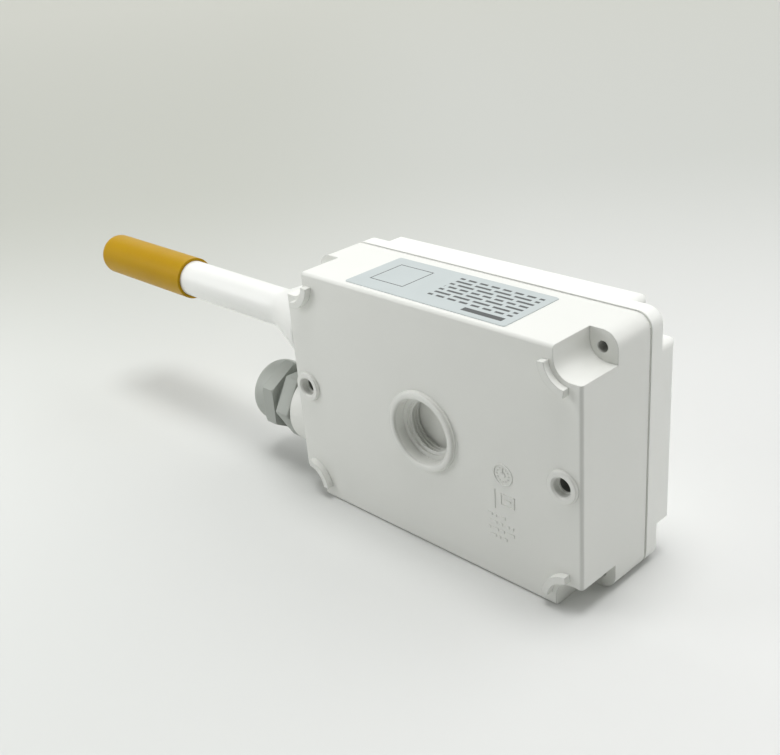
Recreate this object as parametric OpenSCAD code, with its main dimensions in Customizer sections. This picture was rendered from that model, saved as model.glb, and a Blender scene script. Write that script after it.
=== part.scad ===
// Wall-mount temperature and humidity transmitter with a fixed probe.
// X runs along the housing, with the probe towards -X. Y runs from the back face towards the cover.
// Z is up while the housing lies on its long side. The origin is the middle of the back face.

/* [Housing] */
// Width of the housing, along X
body_w = 103; // [96:1:112]
// Height of the housing, along Z
body_h = 72; // [70:1:80]
// Depth of the base, from the back face to the parting plane
base_d = 27.6; // [27.2:0.1:32]
// Radius of the housing's four outer corners
corner_r = 4.4; // [4.2:0.1:7.5]
// Thickness of the moulded walls
wall = 2.5; // [2.2:0.1:2.8]
// Radius along the edges of the back face
edge_r = 1; // [0.6:0.1:1.4]
// Height of the dark groove at the parting line
groove_h = 0.9; // [0.3:0.1:1.2]
// Depth of the groove at the parting line
groove_w = 0.5; // [0.3:0.1:0.8]

/* [Corner pockets] */
// Width of a pocket from the short side
pocket_w = 8; // [7.6:0.1:9]
// Height of a pocket from the long side
pocket_h = 8.1; // [7.6:0.1:9]
// Depth of a pocket from the back face
pocket_d = 14; // [10:0.1:17]
// Radius of a pocket's inner corner
pocket_r = 5; // [3:0.1:6]
// Gap between a pocket and its curved stand-off rib
rib_gap = 1.3; // [0.8:0.1:2]
// Width of a curved stand-off rib
rib_w = 2; // [1.2:0.1:2.2]
// Height of a rib above the back face
rib_h = 2; // [1.2:0.1:3]
// Angle that a rib's arc covers
rib_arc = 78; // [60:1:90]

/* [Wall mounting] */
// Distance of the mounting holes from the short sides
mount_inset = 5.5; // [5.2:0.1:6]
// Radius of the mounting holes
mount_hole_r = 2.1; // [1.8:0.05:2.3]
// Radius of the wider mouth of a mounting hole
mount_mouth_r = 2.6; // [2.4:0.05:3]
// Depth of the wider mouth
mount_mouth_d = 2.2; // [1.5:0.1:3]
// Outer radius of a mounting boss
mount_boss_r = 4.5; // [4:0.1:4.8]
// Height of the raised rings above the back face
ring_h = 1; // [0.6:0.1:1.6]
// Length of a mounting boss inside the housing
mount_column_l = 4; // [3:0.1:5]

/* [Rear entry] */
// Radius of the entry's threaded bore
entry_r = 8.1; // [7.5:0.1:8.6]
// Radius of the wider bore in front of the thread
entry_mouth_r = 9.5; // [9:0.1:10]
// Depth of the wider bore, from the back face
entry_mouth_d = 2.3; // [1.8:0.1:3]
// Radius of the raised ring around the mouth
entry_ring_r = 11.7; // [11.2:0.1:12]
// Depth of the membrane that closes the entry
entry_d = 6.8; // [5.5:0.1:9]
// Thickness of the membrane
membrane_t = 1; // [0.6:0.1:1.4]

/* [Cover] */
// Thickness of the cover's flange
flange_d = 5; // [4.4:0.1:6]
// Height of the raised centre above the flange
raise_d = 5.8; // [4:0.1:8]
// Width of the lowered corners
notch_w = 8.2; // [7.2:0.1:8.4]
// Height of the lowered corners
notch_h = 9.4; // [8.4:0.1:10.4]
// Radius inside the lowered corners
notch_r = 3.5; // [2.5:0.1:4.5]
// Radius on the raised centre's outer corners
raise_r = 2.5; // [1.8:0.1:3]
// Radius along the raised centre's front edges
front_r = 1.2; // [0.8:0.1:1.6]
// Thickness of the cover's front wall
cover_wall = 2.2; // [1.8:0.1:2.6]
// Length of the tongue that reaches into the base
tongue_l = 2.4; // [1.5:0.1:3.5]
// Thickness of the tongue
tongue_t = 1.5; // [1.2:0.1:1.8]
// Gap between the tongue and the base's wall
tongue_gap = 0.3; // [0.2:0.05:0.4]
// Width of the cover gasket
gasket_w = 0.9; // [0.6:0.05:1.1]
// Height of the cover gasket
gasket_h = 1.2; // [0.8:0.1:1.6]

/* [Cover screws] */
// Distance of a cover screw from the short side
screw_x = 4.3; // [4.1:0.1:4.5]
// Distance of a cover screw from the long side
screw_z = 4.4; // [4.1:0.1:4.7]
// Radius of a cover screw's shank
screw_r = 1.4; // [1.3:0.05:1.8]
// Radius of a cover screw's head
screw_head_r = 2.9; // [2.6:0.1:3.1]
// Height of a cover screw's head
screw_head_h = 2.6; // [1.8:0.1:2.8]
// Length of a cover screw under its seal
screw_l = 16; // [12:0.1:17]
// Thickness of the seal under a screw head
screw_seal_t = 0.6; // [0.4:0.1:0.9]

/* [Rating plate] */
// Length of the plate
plate_l = 55.6; // [45:0.5:60]
// Width of the plate
plate_w = 21.6; // [16:0.1:23]
// Thickness of the plate
plate_t = 0.2; // [0.1:0.05:0.4]
// Radius of the plate's corners
plate_r = 0.8; // [0.4:0.1:1.5]
// Distance of the plate from the back face
plate_y = 2; // [1.5:0.1:3]

/* [Cable gland] */
// Distance of the gland's axis from the lower long side
gland_inset = 20; // [19.9:0.1:21.9]
// Outer radius of the housing's collar for the gland
collar_r = 11.6; // [11:0.1:12]
// Length of the collar
collar_l = 9; // [5:0.1:11]
// Radius of the gland's thread
gland_thread_r = 8; // [7.5:0.1:8.4]
// Width of the gland's hexagons across the flats
gland_flats = 20.6; // [19.4:0.1:21]
// Length of the gland body's hexagon
gland_hex_l = 5.8; // [4.5:0.1:7]
// Thickness of the flat seal under the hexagon
gland_washer_t = 1; // [0.6:0.1:1.5]
// Radius of the gland's neck, inside the nut
neck_r = 8.8; // [8.4:0.05:9]
// Length of the neck
neck_l = 11; // [8:0.1:12]
// Radius of the cable seal's bore
cable_r = 3; // [2:0.1:4]
// Gap between the gland's hexagon and its nut
nut_gap = 2.3; // [1.5:0.1:3]
// Length of the gland's nut
nut_l = 12.8; // [12:0.1:14]
// Length of the hexagon on the nut
nut_hex_l = 5; // [4:0.1:5.5]
// Radius of the opening in the nut's end
nut_mouth_r = 5.4; // [4.6:0.1:6]

/* [Probe] */
// Distance of the probe's axis from the upper long side
probe_inset = 21.7; // [21:0.1:22.1]
// Outer radius of the probe's tube
tube_r = 6; // [5.8:0.05:6.3]
// Inner radius of the probe's tube
tube_bore_r = 4.6; // [4.4:0.05:4.7]
// Length of the probe's tube, from the housing
tube_l = 78.5; // [60:0.5:120]
// Radius of the flared root at the housing
bell_r = 13.2; // [12.5:0.1:13.4]
// Length of the flared root
bell_l = 18.4; // [14:0.1:24]
// Straight rim of the flared root
bell_rim = 1.2; // [0.8:0.1:2]
// Radius that blends the flare into the tube
blend_r = 14; // [8:0.5:20]
// Radius of the stem's thread inside the housing
spigot_r = 7; // [6.6:0.1:7.4]
// Length of the stem's thread inside the housing
spigot_l = 7; // [6:0.1:7.5]
// Locknut across the flats
locknut_flats = 17; // [16.6:0.1:17.4]
// Thickness of the locknut
locknut_t = 4; // [3:0.1:5]

/* [Filter and cap] */
// Length of the filter's cage
cage_l = 31; // [30:0.5:34]
// Thickness of the cage's wall
cage_t = 0.95; // [0.9:0.05:1.1]
// Radius of the thread that holds the filter
ring_thread_r = 5; // [4.9:0.05:5]
// Length of the thread that holds the filter
ring_thread_l = 5; // [4:0.1:6]
// Thickness of the filter's seal
filter_seal_t = 0.8; // [0.5:0.1:1.2]
// Slots around the cage
slot_count = 6; // [4:1:8]
// Width of a slot
slot_w = 2.2; // [1.6:0.1:2.6]
// Length of a slot
slot_l = 9; // [8:0.5:10]
// Thickness of the porous sleeve
membrane_sleeve_t = 0.4; // [0.3:0.05:0.6]
// Outer radius of the yellow cap
cap_r = 7; // [6.8:0.1:7.6]
// Length of the yellow cap
cap_l = 50; // [49:0.5:65]
// Length of tube that the cap covers
cap_cover = 11; // [8:0.5:12]
// Thickness of the cap's end
cap_end_t = 1.4; // [1:0.1:2]

/* [Circuit board] */
// Gap between the circuit board and the short sides' inner walls
board_gap_x = 9; // [8.8:0.1:12]
// Gap between the circuit board and the long sides' inner walls
board_gap_z = 1.5; // [1:0.1:3]
// Thickness of the circuit board
board_t = 1.6; // [1.2:0.1:2]
// Height of the board's posts
post_h = 5.5; // [4.5:0.1:6]
// Radius of the board's posts
post_r = 3.2; // [2.6:0.1:3.4]
// Distance of the board's screws from its short edges
board_inset_x = 4; // [3.5:0.1:6]
// Distance of the board's screws from its long edges
board_inset_z = 4.5; // [3.5:0.1:6]
// Radius of the notch that clears the rear entry
board_notch_r = 13; // [12.5:0.1:13.5]
// Spacing of the terminals
terminal_pitch = 4.5; // [4:0.1:4.8]
// Terminals in a block
terminal_count = 5; // [3:1:5]
// Height of a terminal block
terminal_h = 9; // [7:0.5:12]
// Depth of a terminal block
terminal_d = 8; // [7:0.1:9]
// Radius of a probe wire
wire_r = 0.55; // [0.4:0.05:0.65]
// Spacing of the probe wires
wire_pitch = 1.5; // [1.4:0.05:1.6]
// Number of probe wires
wire_count = 4; // [2:1:4]

/* [Hidden] */
$fn = 64;

// How far a cut runs past the face that it opens
over = 1;
// Radial clearance of threads, sleeves and pins
fit = 0.05;
// Wider radial clearance where a screw only passes through
loose = 0.2;
// How deep bosses, ribs and collars reach into the wall that carries them
root = wall / 2;
// Rounding of the raised rings, bosses and collar
soft_r = 0.4;
// Roundness of a pan head, as a share of the sphere that would just reach its rim
pan_share = 1.25;
// Half of the housing's width and height
half_w = body_w / 2;
half_h = body_h / 2;
// Depth of the closed housing
total_d = base_d + flange_d + raise_d;
// Screw places, measured from the middle
screw_cx = half_w - screw_x;
screw_cz = half_h - screw_z;
// Distance between the mounting holes
mount_pitch = body_w - 2 * mount_inset;
// Gap between the gasket and its groove
gasket_fit = 0.05;
// Lip of wall that stays inside the gasket's groove
gasket_lip = 0.5;
// The cover's flange face
front_face = base_d + flange_d;
// Axes of the gland and the probe, in the middle of the base's depth
axis_y = base_d / 2;
gland_z = gland_inset - half_h;
probe_z = half_h - probe_inset;
// Distances along the gland, counted outwards from the housing's side
washer_at = collar_l;
hex_at = washer_at + gland_washer_t;
neck_at = hex_at + gland_hex_l;
neck_end = neck_at + neck_l;
nut_at = neck_at + nut_gap;
// The cable seal: wall of the cup around it, its reach past the neck and its clearance
cup_wall = 1.8;
seal_proud = 1;
cup_floor = 1.2;
cup_r = neck_r - cup_wall;
seal_end = neck_end + seal_proud;
seal_lead = 1.5;
// Rounding of the nut's end, and step from its flats to its dome
nut_round = 4.4;
nut_step = 0.1;
// Edges of hexagons are turned off by this much
hex_chamfer = 0.6;
// Facets of the large circle that blends the flare into the tube, in quick views
blend_facets = 180;
// Bore of the gland's body
gland_bore_r = 5;
// How far the gland's thread reaches past the housing's wall
gland_reach = 1;
// The probe's axial places, counted outwards from the housing's side
cage_at = tube_l + filter_seal_t;
cap_at = tube_l - cap_cover;
// The stem ring: depth in the tube, bore, and width of the filter seal
ring_depth = 8;
ring_bore_r = 3.7;
seal_rim = 0.1;
// Rounding of the cage's end
cage_round = 2;
cage_end_t = 1.2;
// Cage slots: distance from the cage's start, and bridge between two rows
slot_start = 7.5;
slot_bridge = 2.5;
slot_rows = 2;
// Relief at the flared root's foot
bell_foot = 0.5;
// The rubber ring under the flared root: middle radius and half of its width, which is also its height
probe_seal_r = 9.6;
probe_seal_t = 0.9;
// The sensing board inside the probe's end, and its reach into the tube
sensor_board_l = 38;
sensor_board_w = 6.4;
sensor_board_t = 0.8;
sensor_board_in = 13.5;
sensor_board_at = tube_l - sensor_board_in;
chip_l = 6;
chip_w = 4;
chip_t = 0.6;
chip_from_end = 2;
element_l = 2.3;
element_w = 2;
element_t = 0.9;
element_gap = 3;
// Board: size, screw places, faces, corner radius, screws
board_w = body_w - 2 * wall - 2 * board_gap_x;
board_h = body_h - 2 * wall - 2 * board_gap_z;
board_pitch_x = board_w - 2 * board_inset_x;
board_pitch_z = board_h - 2 * board_inset_z;
board_back = wall + post_h;
board_front = board_back + board_t;
board_r = 1.5;
board_hole_r = 1.35;
board_screw_r = 1.25;
board_screw_l = 5.6;
board_head_r = 2.4;
board_head_h = 1.6;
board_hole_d = 5;
// Terminal blocks: distance from their neighbours, length and place
terminal_edge = 1;
terminal_l = terminal_pitch * terminal_count;
terminal_x = board_notch_r + terminal_edge;
terminal_z = -board_pitch_z / 2 + board_head_r + terminal_d / 2 + terminal_edge;
terminal_screw_r = 1.5;
terminal_screw_h = 1.4;
terminal_well = 1.8;
terminal_mouth_w = 2.6;
terminal_mouth_h = 3;
terminal_mouth_d = 5;
// Connector of the probe's wires
connector_x = 2;
connector_l = 8;
connector_rim = 1.6;
wire_in = 1.5;
// From the housing's side to where the wires end in their connector
wire_run = half_w - board_w / 2 + connector_x + wire_in;
// Chips: middle and size, each as shares of the board's width, height, width, height and thickness
chips_shares = [
    [-0.18, 0.32, 0.13, 0.16, 0.9],
    [0.02, 0.34, 0.09, 0.08, 0.95],
    [-0.28, -0.06, 0.065, 0.065, 0.7],
    [0.31, 0, 0.08, 0.14, 1]
];
// Capacitors, and the distance of the outer one from the board's edges
can_r = 3.6;
can_h = 9;
can_inset_x = 10;
can_inset_z = 11.5;
can_pitch = 9;
can_count = 2;
can_groove = 0.4;
can_groove_at = 1.6;
// Service socket and indicator
socket_l = 10;
socket_edge = 0.5;
socket_w = 4;
socket_h = 6;
socket_wall = 0.7;
socket_pins = 4;
socket_pin_w = 0.6;
socket_floor = 1.5;
led_inset = 5;
led_r = 1.5;
led_h = 3;
led_base = 0.8;
// Drive recess of the screws
drive_w = 0.8;
drive_share = 0.6;
drive_d = 1.1;

// Shapes

// A flat outline in X and Z, thickened from one depth to another
module slab(y0, y1)
    translate([0, y1, 0])
        rotate([90, 0, 0])
            linear_extrude(y1 - y0)
                children();

// Repeats a shape in all four corners of the housing
module four_corners()
    for (x = [0, 1])
        for (z = [0, 1])
            mirror([x, 0, 0])
                mirror([0, 0, z])
                    children();

// Turns a shape built along +Z so that it points out of the housing's left side
module from_side(z)
    translate([-half_w, axis_y, z])
        rotate([0, -90, 0])
            children();

// Turns a shape built along +Z so that it points out of the back face
module from_back(x = 0, z = 0)
    translate([x, 0, z])
        rotate([90, 0, 0])
            children();

// Turns a shape built along +Z so that it points towards the cover
module to_front(x = 0, y = 0, z = 0)
    translate([x, y, z])
        rotate([-90, 0, 0])
            children();

module ring(outer, inner, length)
    difference() {
        cylinder(h = length, r = outer);
        translate([0, 0, -over])
            cylinder(h = length + 2 * over, r = inner);
    }

// A post whose far end has a rounded edge
module soft_post(r, length, edge)
    rotate_extrude() {
        square([r, length - edge]);
        square([r - edge, length]);
        translate([r - edge, length - edge])
            circle(edge);
    }

module rounded_rect(w, h, r) {
    square([w - 2 * r, h], center = true);
    square([w, h - 2 * r], center = true);
    for (x = [-1, 1])
        for (y = [-1, 1])
            translate([x * (w / 2 - r), y * (h / 2 - r)])
                circle(r);
}

// The corner of the housing beyond a rounded inner corner, for the corner in +X and +Z
module corner_area(w, h, r)
    translate([half_w - w, half_h - h]) {
        translate([r, 0])
            square([w - r + over, h + over]);
        translate([0, r])
            square([w + over, h - r + over]);
        translate([r, r])
            circle(r);
    }

// The inside outline of the base, grown by g all round
module inside_outline(g = 0)
    difference() {
        rounded_rect(body_w - 2 * wall + 2 * g, body_h - 2 * wall + 2 * g, corner_r - wall + g);
        for (x = [0, 1])
            for (y = [0, 1])
                mirror([x, 0])
                    mirror([0, y])
                        corner_area(pocket_w + wall - g, pocket_h + wall - g, pocket_r + wall - g);
    }

// A hexagonal prism whose corners are turned off at both ends
module hex_bar(flats, length) {
    corner = flats / sqrt(3);
    intersection() {
        cylinder(h = length, r = corner, $fn = 6);
        rotate_extrude()
            polygon([
                [0, 0],
                [corner - hex_chamfer, 0],
                [corner, hex_chamfer],
                [corner, length - hex_chamfer],
                [corner - hex_chamfer, length],
                [0, length]
            ]);
    }
}

// Base housing

// A straight cutter that leaves a rounded edge along its own Z axis
module edge_cutter(length)
    translate([0, 0, -length / 2])
        linear_extrude(length)
            difference() {
                translate([-over, -over])
                    square(edge_r + over);
                translate([edge_r, edge_r])
                    circle(edge_r);
            }

// Opens a bore of radius r towards the top of its raised ring
module mouth_chamfer(r)
    translate([0, 0, ring_h - soft_r])
        cylinder(h = 2 * soft_r, r1 = r, r2 = r + 2 * soft_r);

module stand_off_rib()
    translate([half_w - pocket_w + pocket_r, 0, half_h - pocket_h + pocket_r])
        rotate([90, 0, 0])
            rotate([0, 0, 225 - rib_arc / 2])
                rotate_extrude(angle = rib_arc)
                    translate([pocket_r + rib_gap, -root])
                        square([rib_w, rib_h + root]);

module base_shell() {
    difference() {
        union() {
            slab(0, base_d - groove_h / 2)
                rounded_rect(body_w, body_h, corner_r);
            slab(0, base_d)
                rounded_rect(body_w - 2 * groove_w, body_h - 2 * groove_w, corner_r - groove_w);
            from_side(gland_z)
                translate([0, 0, -root])
                    soft_post(collar_r, root + collar_l, soft_r);
        }
        slab(wall, base_d + over)
            inside_outline();
        four_corners()
            slab(-over, pocket_d)
                corner_area(pocket_w, pocket_h, pocket_r);
        for (side = [0, 1])
            mirror([0, 0, side])
                translate([0, 0, -half_h])
                    rotate([90, 0, 90])
                        edge_cutter(body_w + 2 * over);
        for (side = [0, 1])
            mirror([side, 0, 0])
                translate([-half_w, 0, 0])
                    edge_cutter(body_h + 2 * over);
        slab(base_d - gasket_h, base_d + over)
            difference() {
                inside_outline(gasket_lip + gasket_w + 2 * gasket_fit);
                inside_outline(gasket_lip);
            }
    }
}

module base_bosses() {
    four_corners()
        stand_off_rib();
    from_back() {
        translate([0, 0, -root])
            soft_post(entry_ring_r, ring_h + root, soft_r);
        translate([0, 0, -entry_d - membrane_t])
            cylinder(h = entry_d + membrane_t, r = entry_ring_r);
    }
    for (side = [-1, 1])
        from_back(side * mount_pitch / 2) {
            translate([0, 0, -root])
                soft_post(mount_boss_r, ring_h + root, soft_r);
            translate([0, 0, -wall - mount_column_l])
                cylinder(h = wall + mount_column_l - root, r = mount_boss_r);
        }
    for (x = [-1, 1])
        for (z = [-1, 1])
            to_front(x * board_pitch_x / 2, root, z * board_pitch_z / 2)
                cylinder(h = post_h + wall - root, r = post_r);
}

module base_housing()
    color("#f1f2ee")
        difference() {
            union() {
                base_shell();
                base_bosses();
            }
            from_back() {
                translate([0, 0, -entry_d])
                    cylinder(h = entry_d + ring_h, r = entry_r);
                translate([0, 0, -entry_mouth_d])
                    cylinder(h = entry_mouth_d + ring_h + over, r = entry_mouth_r);
                mouth_chamfer(entry_mouth_r);
            }
            for (side = [-1, 1])
                from_back(side * mount_pitch / 2) {
                    translate([0, 0, ring_h - mount_mouth_d])
                        cylinder(h = mount_mouth_d + over, r = mount_mouth_r);
                    mouth_chamfer(mount_mouth_r);
                    translate([0, 0, -wall - mount_column_l - over])
                        cylinder(h = wall + mount_column_l + ring_h + over, r = mount_hole_r);
                }
            four_corners()
                to_front(screw_cx, pocket_d - over, screw_cz)
                    cylinder(h = base_d - pocket_d + 2 * over, r = screw_r + fit);
            for (x = [-1, 1])
                for (z = [-1, 1])
                    to_front(x * board_pitch_x / 2, board_back - board_hole_d, z * board_pitch_z / 2)
                        cylinder(h = board_hole_d + over, r = board_screw_r + fit);
            from_side(probe_z)
                translate([0, 0, -wall - over])
                    cylinder(h = wall + 2 * over, r = spigot_r + fit);
            from_side(gland_z)
                translate([0, 0, -wall - over])
                    cylinder(h = wall + collar_l + 2 * over, r = gland_thread_r + fit);
        }

// Cover

// A block with rounded corners and rounded front edges
module soft_block(w, h, r, y0, y1)
    intersection() {
        slab(y0, y1)
            rounded_rect(w, h, r);
        translate([-w / 2 - over, 0, 0])
            rotate([90, 0, 90])
                linear_extrude(w + 2 * over)
                    soft_profile(h, y0, y1);
        translate([0, 0, -h / 2 - over])
            linear_extrude(h + 2 * over)
                rotate([0, 0, -90])
                    mirror([1, 0])
                        soft_profile(w, y0, y1);
    }

// Depth to the right and width upwards, with the two front corners rounded
module soft_profile(width, y0, y1) {
    translate([y0, -width / 2])
        square([y1 - y0 - front_r, width]);
    translate([y0, -width / 2 + front_r])
        square([y1 - y0, width - 2 * front_r]);
    for (side = [-1, 1])
        translate([y1 - front_r, side * (width / 2 - front_r)])
            circle(front_r);
}

// Fills the four inner corners of the raised centre's cross shape
module notch_fillets(r)
    for (x = [0, 1])
        for (y = [0, 1])
            mirror([x, 0])
                mirror([0, y])
                    translate([half_w - notch_w, half_h - notch_h])
                        difference() {
                            square(r);
                            translate([r, r])
                                circle(r);
                        }

// The hollow of the raised centre
module cover_hollow_outline() {
    rounded_rect(body_w - 2 * wall, body_h - 2 * notch_h - 2 * wall, raise_r);
    rounded_rect(body_w - 2 * notch_w - 2 * wall, body_h - 2 * wall, raise_r);
}

module cover()
    color("#f4f5f2")
        difference() {
            union() {
                slab(base_d, front_face)
                    rounded_rect(body_w - 2 * groove_w, body_h - 2 * groove_w, corner_r - groove_w);
                slab(base_d + groove_h / 2, front_face)
                    rounded_rect(body_w, body_h, corner_r);
                soft_block(body_w, body_h - 2 * notch_h, raise_r, front_face - root, total_d);
                soft_block(body_w - 2 * notch_w, body_h, raise_r, front_face - root, total_d);
                slab(front_face - root, total_d - front_r)
                    notch_fillets(notch_r);
                slab(base_d - tongue_l, base_d + root)
                    difference() {
                        inside_outline(-tongue_gap);
                        inside_outline(-tongue_gap - tongue_t);
                    }
            }
            slab(base_d - over, total_d - cover_wall)
                intersection() {
                    cover_hollow_outline();
                    inside_outline(-tongue_gap - tongue_t);
                }
            four_corners()
                to_front(screw_cx, base_d - over, screw_cz)
                    cylinder(h = flange_d + 2 * over, r = screw_r + loose);
        }

module cover_gasket()
    color("#4a4d4f")
        slab(base_d - gasket_h, base_d)
            difference() {
                inside_outline(gasket_lip + gasket_w + gasket_fit);
                inside_outline(gasket_lip + gasket_fit);
            }

// A pan-head screw that points along -Z, with its head's seat at zero
module pan_screw(shank_r, shank_l, head_r, head_h) {
    arc_r = (head_r * head_r + head_h * head_h) / (2 * head_h);
    difference() {
        union() {
            translate([0, 0, -shank_l])
                cylinder(h = shank_l + head_h / 2, r = shank_r);
            intersection() {
                cylinder(h = head_h, r = head_r);
                translate([0, 0, head_h - arc_r * pan_share])
                    sphere(arc_r * pan_share);
            }
        }
        for (turn = [0, 90])
            rotate([0, 0, turn])
                translate([-head_r * drive_share, -drive_w / 2, head_h - drive_d])
                    cube([2 * head_r * drive_share, drive_w, drive_d + over]);
    }
}

module cover_screws()
    color("#8d9194")
        four_corners()
            to_front(screw_cx, front_face + screw_seal_t, screw_cz)
                pan_screw(screw_r, screw_l, screw_head_r, screw_head_h);

module screw_seals()
    color("#2b2d2f")
        four_corners()
            to_front(screw_cx, front_face, screw_cz)
                ring(screw_head_r - fit, screw_r + fit, screw_seal_t);

module rating_plate()
    color("#bcc3c4")
        translate([0, plate_y + plate_w / 2, half_h])
            linear_extrude(plate_t)
                rounded_rect(plate_l, plate_w, plate_r);

// Cable gland

module gland_washer()
    color("#3c3f41")
        from_side(gland_z)
            translate([0, 0, washer_at])
                ring(gland_flats / 2, gland_thread_r + fit, gland_washer_t);

module gland_body()
    color("#a3a69e")
        from_side(gland_z)
            difference() {
                union() {
                    translate([0, 0, -wall - gland_reach])
                        cylinder(h = wall + gland_reach + hex_at + over, r = gland_thread_r);
                    translate([0, 0, hex_at])
                        hex_bar(gland_flats, gland_hex_l);
                    translate([0, 0, neck_at - over])
                        cylinder(h = neck_l + over, r = neck_r);
                }
                translate([0, 0, -wall - gland_reach - over])
                    cylinder(h = wall + gland_reach + neck_end + 2 * over, r = gland_bore_r);
                translate([0, 0, neck_at + cup_floor])
                    cylinder(h = neck_l + over, r = cup_r);
            }

module gland_seal()
    color("#2f3133")
        from_side(gland_z)
            rotate_extrude()
                polygon([
                    [cable_r, neck_at + cup_floor + fit],
                    [cup_r - seal_lead, neck_at + cup_floor + fit],
                    [cup_r - fit, neck_at + cup_floor + seal_lead],
                    [cup_r - fit, seal_end - seal_lead],
                    [cup_r - seal_lead, seal_end],
                    [cable_r, seal_end]
                ]);

module gland_nut()
    color("#a9aca4")
        from_side(gland_z)
            difference() {
                translate([0, 0, nut_at]) {
                    hex_bar(gland_flats, nut_hex_l);
                    soft_post(gland_flats / 2 - nut_step, nut_l, nut_round);
                }
                translate([0, 0, nut_at - over])
                    cylinder(h = seal_end - nut_at + over, r = neck_r + fit);
                translate([0, 0, nut_at])
                    cylinder(h = nut_l + over, r = nut_mouth_r);
            }

// Probe

// Flared root and tube, with an arc between them that touches both
module stem_profile() {
    slope = atan2(bell_r - tube_r, bell_l - bell_rim);
    tangent = blend_r * tan(slope / 2);
    polygon([
        [tube_bore_r, 0],
        [bell_r - bell_foot, 0],
        [bell_r, bell_foot],
        [bell_r, bell_rim],
        [tube_r, bell_l],
        [tube_r, tube_l],
        [tube_bore_r, tube_l]
    ]);
    difference() {
        polygon([
            [tube_r, bell_l],
            [tube_r + tangent * sin(slope), bell_l - tangent * cos(slope)],
            [tube_r, bell_l + tangent]
        ]);
        translate([tube_r + blend_r, bell_l + tangent])
            circle(blend_r, $fn = blend_facets);
    }
}

module probe_stem()
    color("#f3f4f0")
        from_side(probe_z)
            difference() {
                union() {
                    rotate_extrude()
                        stem_profile();
                    translate([0, 0, -wall - spigot_l])
                        ring(spigot_r, tube_bore_r, wall + spigot_l + over);
                }
                translate([0, 0, -over])
                    ring(probe_seal_r + probe_seal_t + fit, probe_seal_r - probe_seal_t - fit,
                        probe_seal_t + over);
            }

module probe_seal()
    color("#2b2d2f")
        from_side(probe_z)
            ring(probe_seal_r + probe_seal_t, probe_seal_r - probe_seal_t, probe_seal_t);

module probe_locknut()
    color("#d9dad5")
        from_side(probe_z)
            translate([0, 0, -wall - locknut_t])
                difference() {
                    hex_bar(locknut_flats, locknut_t);
                    translate([0, 0, -over])
                        cylinder(h = locknut_t + 2 * over, r = spigot_r + fit);
                }

module stem_ring()
    color("#b9bcbd")
        from_side(probe_z)
            difference() {
                union() {
                    translate([0, 0, tube_l - ring_depth])
                        cylinder(h = ring_depth + over, r = tube_bore_r - fit);
                    translate([0, 0, tube_l])
                        cylinder(h = filter_seal_t + ring_thread_l, r = ring_thread_r);
                }
                translate([0, 0, tube_l - ring_depth - over])
                    cylinder(h = ring_depth + filter_seal_t + ring_thread_l + 2 * over, r = ring_bore_r);
            }

module sensor_board()
    color("#2f6b4a")
        from_side(probe_z)
            translate([-sensor_board_w / 2, -sensor_board_t / 2, sensor_board_at])
                cube([sensor_board_w, sensor_board_t, sensor_board_l]);

module humidity_chip()
    color("#d8c88a")
        from_side(probe_z)
            translate([-chip_w / 2, sensor_board_t / 2, sensor_board_at + sensor_board_l - chip_from_end - chip_l])
                cube([chip_w, chip_t, chip_l]);

module temperature_element()
    color("#e9e9e4")
        from_side(probe_z)
            translate([-element_w / 2, sensor_board_t / 2,
                sensor_board_at + sensor_board_l - chip_from_end - chip_l - element_gap - element_l])
                cube([element_w, element_t, element_l]);

module filter_seal()
    color("#2b2d2f")
        from_side(probe_z)
            translate([0, 0, tube_l])
                ring(tube_r - seal_rim, ring_thread_r + seal_rim, filter_seal_t);

// A closed tube whose far end is rounded
module closed_tube(outer, inner, length, end_t, round_r)
    difference() {
        soft_post(outer, length, round_r);
        translate([0, 0, -over])
            cylinder(h = length - end_t + over, r = inner);
    }

module filter_cage()
    color("#c9cbc7")
        from_side(probe_z)
            translate([0, 0, cage_at])
                difference() {
                    closed_tube(tube_r, tube_r - cage_t, cage_l, cage_end_t, cage_round);
                    for (turn = [0 : slot_count - 1])
                        rotate([0, 0, turn * 360 / slot_count])
                            for (row = [0 : slot_rows - 1])
                                translate([0, -slot_w / 2, slot_start + row * (slot_l + slot_bridge)])
                                    cube([tube_r + over, slot_w, slot_l]);
                }

module filter_membrane()
    color("#ecece6")
        from_side(probe_z)
            translate([0, 0, cage_at + ring_thread_l + fit])
                ring(tube_r - cage_t - fit, tube_r - cage_t - fit - membrane_sleeve_t,
                    cage_l - ring_thread_l - cage_end_t - 2 * fit);

module probe_cap()
    color("#d9a514")
        from_side(probe_z)
            translate([0, 0, cap_at])
                closed_tube(cap_r, tube_r + fit, cap_l, cap_end_t, cap_r / 2);

module wire_places()
    for (wire = [0 : wire_count - 1])
        translate([(wire - (wire_count - 1) / 2) * wire_pitch, 0, 0])
            children();

module probe_wires()
    color("#c23b32")
        from_side(probe_z)
            wire_places()
                translate([0, 0, -wire_run])
                    cylinder(h = wire_run + sensor_board_at, r = wire_r);

// Circuit board and what is on it

module board_outline()
    difference() {
        rounded_rect(board_w, board_h, board_r);
        circle(board_notch_r);
        translate([-board_notch_r, -board_h / 2 - over])
            square([2 * board_notch_r, board_h / 2 + over]);
        for (x = [-1, 1])
            for (z = [-1, 1])
                translate([x * board_pitch_x / 2, z * board_pitch_z / 2])
                    circle(board_hole_r);
    }

module circuit_board()
    color("#2e7048")
        slab(board_back, board_front)
            board_outline();

module board_screws()
    color("#9da0a2")
        for (x = [-1, 1])
            for (z = [-1, 1])
                to_front(x * board_pitch_x / 2, board_front, z * board_pitch_z / 2)
                    pan_screw(board_screw_r, board_screw_l, board_head_r, board_head_h);

module terminal_places()
    for (side = [0, 1])
        mirror([side, 0, 0])
            for (n = [0 : terminal_count - 1])
                to_front(terminal_x + (n + 1 / 2) * terminal_pitch, board_front, terminal_z)
                    children();

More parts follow.
